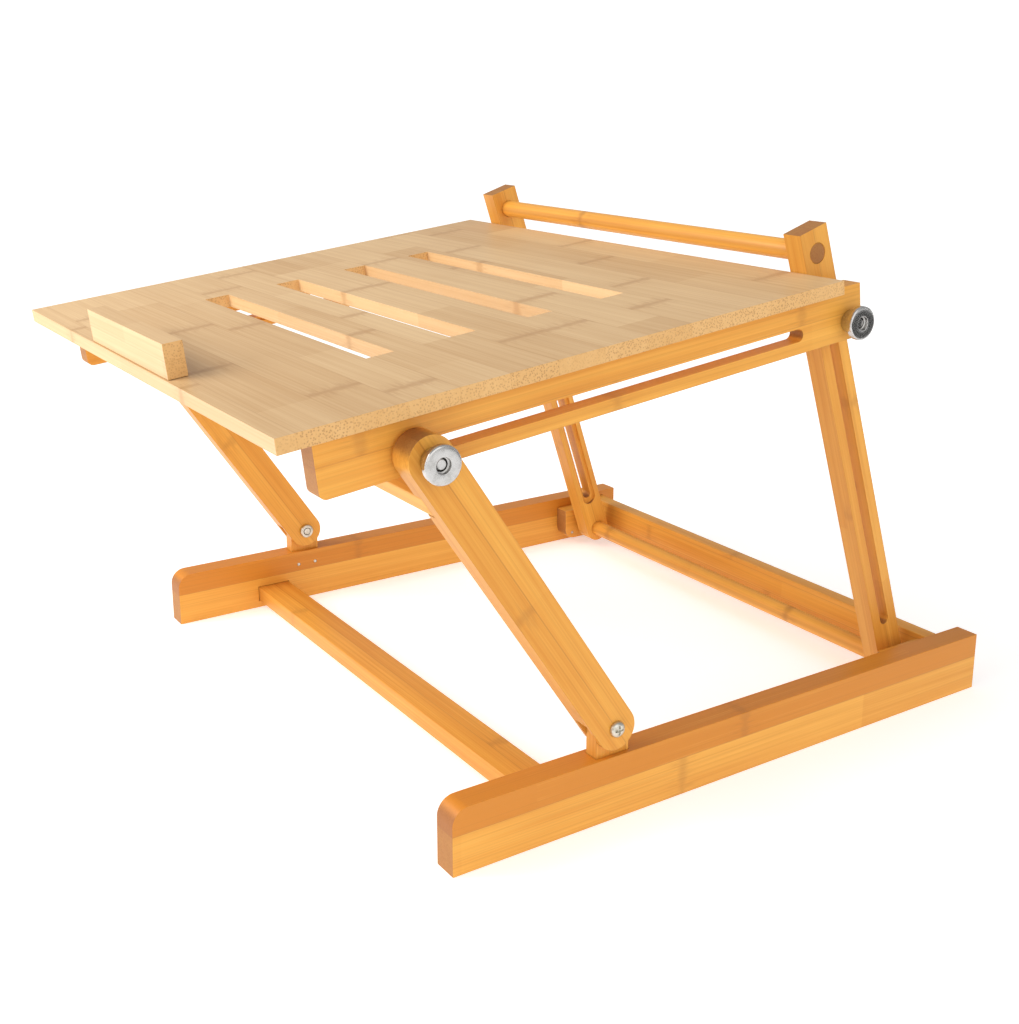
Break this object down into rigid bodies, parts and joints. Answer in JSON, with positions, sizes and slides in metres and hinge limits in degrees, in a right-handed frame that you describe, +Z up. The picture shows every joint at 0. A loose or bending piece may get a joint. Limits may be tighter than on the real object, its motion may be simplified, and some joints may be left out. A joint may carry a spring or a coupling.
{
  "type": "adjustable laptop stand",
  "caption": "Laminated bamboo laptop stand with a vented tilting platform, swinging front arms, slotted rear legs and round clamping knobs.",
  "frame": {"origin": "on the floor, midway between the left and right faces and midway between the platform's front edge and the base rails' rear ends", "axes": "+X to the right seen from the front, +Y to the back, +Z up"},
  "size_m": [0.4258, 0.4848, 0.3097],
  "materials": {
    "frame_bamboo": "caramel laminated bamboo, satin lacquer",
    "panel_bamboo": "pale laminated bamboo strips, satin lacquer",
    "knob_metal": "turned and nickel plated",
    "bolt_metal": "zinc plated",
    "screw_metal": "zinc plated"
  },
  "bodies": {
    "base": {"base_rail_right": "frame_bamboo", "base_rail_left": "frame_bamboo", "front_slat": "frame_bamboo", "rear_crossbar": "frame_bamboo", "leg_pivot_block_right": "frame_bamboo", "leg_pivot_block_left": "frame_bamboo", "arm_tongue_right": "frame_bamboo", "arm_tongue_left": "frame_bamboo", "arm_pivot_screw_right": "screw_metal", "arm_pivot_screw_left": "screw_metal", "arm_pivot_nut_right": "screw_metal", "arm_pivot_nut_left": "screw_metal", "tongue_brad_1_right": "screw_metal", "tongue_brad_1_left": "screw_metal", "tongue_brad_2_right": "screw_metal", "tongue_brad_2_left": "screw_metal", "block_brad_right": "screw_metal", "block_brad_left": "screw_metal"},
    "rear_legs": {"rear_leg_right": "frame_bamboo", "rear_leg_left": "frame_bamboo", "top_dowel": "frame_bamboo", "bottom_dowel": "frame_bamboo"},
    "front_arms": {"front_arm_right": "frame_bamboo", "front_arm_left": "frame_bamboo", "arm_brace": "frame_bamboo"},
    "front_clamp": {"front_bolt_right": "bolt_metal", "front_bolt_left": "bolt_metal", "front_washer_right": "bolt_metal", "front_washer_left": "bolt_metal"},
    "platform": {"platform_panel": "panel_bamboo", "platform_rail_right": "frame_bamboo", "platform_rail_left": "frame_bamboo", "stop_lip": "panel_bamboo", "lip_screw_right": "screw_metal", "lip_screw_left": "screw_metal", "rear_bolt_right": "bolt_metal", "rear_bolt_left": "bolt_metal", "rear_washer_right": "bolt_metal", "rear_washer_left": "bolt_metal"},
    "front_knob_right": {"front_knob_right": "knob_metal"},
    "front_knob_left": {"front_knob_left": "knob_metal"},
    "rear_knob_right": {"rear_knob_right": "knob_metal"},
    "rear_knob_left": {"rear_knob_left": "knob_metal"}
  },
  "joints": [
    {"name": "arm_swing", "type": "hinge", "parent": "base", "child": "front_arms", "pos_m": [0, -0.05582, 0.0537], "axis": [-1, 0, 0], "range_deg": [0, 45]},
    {"name": "platform_tilt", "type": "hinge", "parent": "front_arms", "child": "front_clamp", "pos_m": [0, -0.1667, 0.22015], "axis": [-1, 0, 0], "range_deg": [-41, 0]},
    {"name": "platform_slide", "type": "slide", "parent": "front_clamp", "child": "platform", "axis": [0, -0.9932, -0.1165], "range_m": [0, 0.11]},
    {"name": "leg_swing", "type": "hinge", "parent": "base", "child": "rear_legs", "pos_m": [0, 0.20078, 0.0167], "axis": [-1, 0, 0], "range_deg": [0, 10.5]},
    {"name": "front_knob_right_turn", "type": "hinge", "parent": "front_clamp", "child": "front_knob_right", "pos_m": [0.2076, -0.1667, 0.22015], "axis": [1, 0, 0], "continuous": true},
    {"name": "front_knob_left_turn", "type": "hinge", "parent": "front_clamp", "child": "front_knob_left", "pos_m": [-0.2076, -0.1667, 0.22015], "axis": [1, 0, 0], "continuous": true},
    {"name": "rear_knob_right_turn", "type": "hinge", "parent": "platform", "child": "rear_knob_right", "pos_m": [0.1891, 0.12228, 0.25406], "axis": [1, 0, 0], "continuous": true},
    {"name": "rear_knob_left_turn", "type": "hinge", "parent": "platform", "child": "rear_knob_left", "pos_m": [-0.1891, 0.12228, 0.25406], "axis": [1, 0, 0], "continuous": true}
  ],
  "couplings": [
    {"joint": "platform_tilt", "follows": "arm_swing", "ratio": -0.8977},
    {"joint": "platform_slide", "follows": "arm_swing", "m_per_rad": 0.13744},
    {"joint": "leg_swing", "follows": "arm_swing", "ratio": 0.2263}
  ]
}
